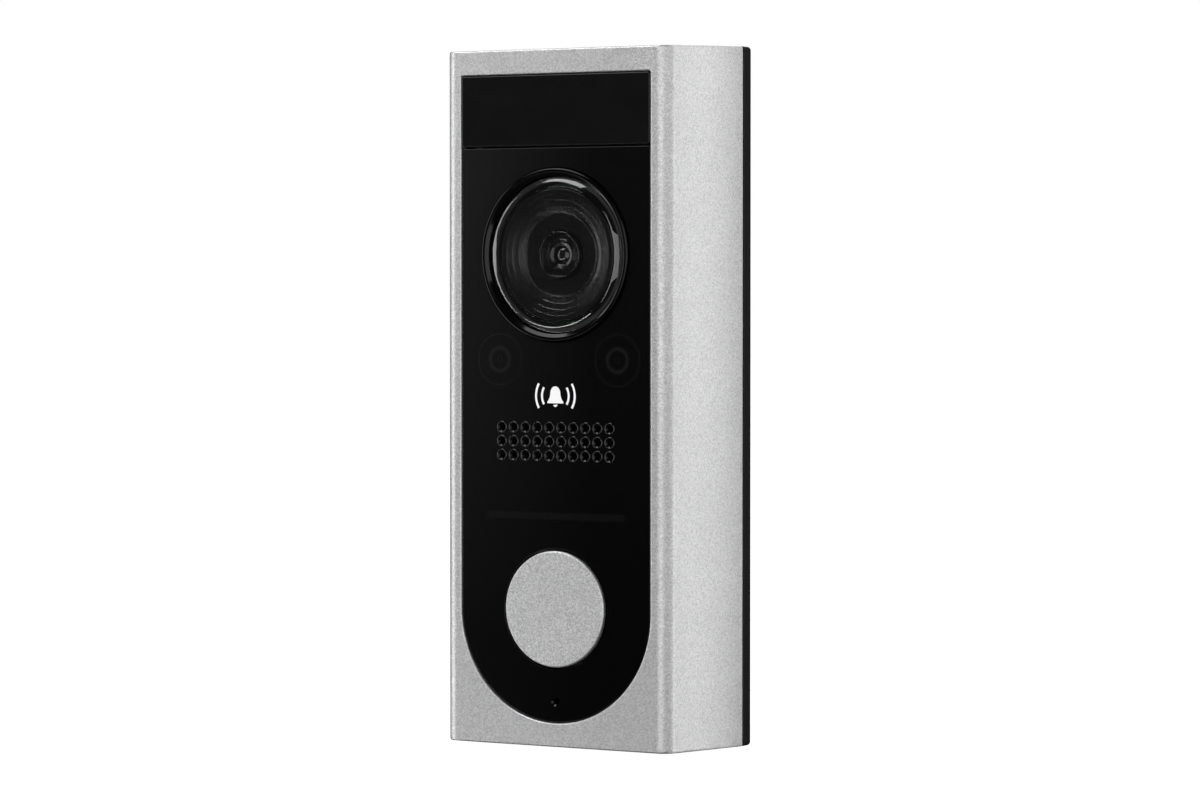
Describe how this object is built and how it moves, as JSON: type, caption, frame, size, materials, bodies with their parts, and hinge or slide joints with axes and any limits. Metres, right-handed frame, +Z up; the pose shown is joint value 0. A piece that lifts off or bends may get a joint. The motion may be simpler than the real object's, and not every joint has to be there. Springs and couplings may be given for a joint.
{
  "type": "video doorbell",
  "caption": "Upright wired video doorbell: satin metal shell, smoked faceplate with a round camera, sound holes and a round call button, hung on a black wall bracket.",
  "frame": {"origin": "middle of the wall bracket's rear face, on the wall plane", "axes": "+X to the right for a visitor who faces the doorbell, +Y into the wall, +Z up"},
  "size_m": [0.0484, 0.0308, 0.129],
  "materials": {
    "housing_metal": "bead-blasted satin, fine metallic grain",
    "button_metal": "satin disc with a rounded edge",
    "faceplate_gloss": "smoked, high gloss",
    "window_gloss": "infrared-clear black, semi gloss",
    "bracket_plastic": "fine moulded texture",
    "black_satin": "satin black",
    "black_matte": "matte black",
    "rubber": "matte",
    "clear_cover": "clear, polished",
    "lens_glass": "coated optical glass",
    "circuit_board": "solder mask over glass fibre",
    "steel": "zinc plated",
    "brass": "plain",
    "cone_film": "pressed film",
    "ivory_plastic": "natural moulding",
    "sleeve": "shrink sleeve"
  },
  "bodies": {
    "bracket": {"wall_bracket": "bracket_plastic"},
    "housing": {"front_housing": "housing_metal", "faceplate": "faceplate_gloss", "pir_window": "window_gloss", "camera_bezel": "black_satin", "camera_cover": "clear_cover", "cover_seal": "rubber", "lens_baffle": "black_matte", "lens_barrel": "black_satin", "front_lens": "lens_glass", "lens_mount": "black_matte", "image_sensor": "lens_glass", "camera_board": "circuit_board", "board_connector": "ivory_plastic", "infrared_led_left": "clear_cover", "infrared_led_right": "clear_cover", "led_collar_left": "rubber", "led_collar_right": "rubber", "inner_frame": "black_matte", "speaker_mesh": "black_matte", "speaker_gasket": "rubber", "speaker_frame": "black_satin", "speaker_cone": "cone_film", "speaker_magnet": "steel", "microphone_boot": "rubber", "microphone": "brass", "pir_sensor": "steel", "button_seal": "rubber", "button_switch": "black_matte", "main_board": "circuit_board", "processor_shield": "steel", "wifi_antenna": "brass", "power_inductor": "black_matte", "backup_capacitor": "sleeve", "terminal_block": "black_satin", "terminal_plate_left": "brass", "terminal_plate_right": "brass", "terminal_screw_left": "steel", "terminal_screw_right": "steel", "rear_cover": "black_matte", "housing_seal": "rubber", "reset_switch": "black_matte", "security_screw": "steel", "cover_screw_left_upper": "steel", "cover_screw_left_lower": "steel", "cover_screw_right_upper": "steel", "cover_screw_right_lower": "steel"},
    "call_button": {"button_cap": "button_metal", "button_carrier": "black_satin"},
    "plunger": {"switch_plunger": "ivory_plastic"},
    "setup_button": {"reset_button": "ivory_plastic"}
  },
  "joints": [
    {"name": "housing_lift", "type": "slide", "parent": "bracket", "child": "housing", "axis": [0, 0, 1], "range_m": [0, 0.004]},
    {"name": "call_button_press", "type": "slide", "parent": "housing", "child": "call_button", "axis": [0, 1, 0], "range_m": [0, 0.0005], "stiffness_N_per_m": 2400, "springref_m": -0.0003},
    {"name": "switch_plunger_press", "type": "slide", "parent": "housing", "child": "plunger", "axis": [0, 1, 0], "range_m": [0, 0.0005]},
    {"name": "setup_button_press", "type": "slide", "parent": "housing", "child": "setup_button", "axis": [0, -1, 0], "range_m": [0, 0.0004], "stiffness_N_per_m": 2500, "springref_m": -0.0002}
  ],
  "couplings": [
    {"joint": "switch_plunger_press", "follows": "call_button_press", "ratio": 1}
  ]
}
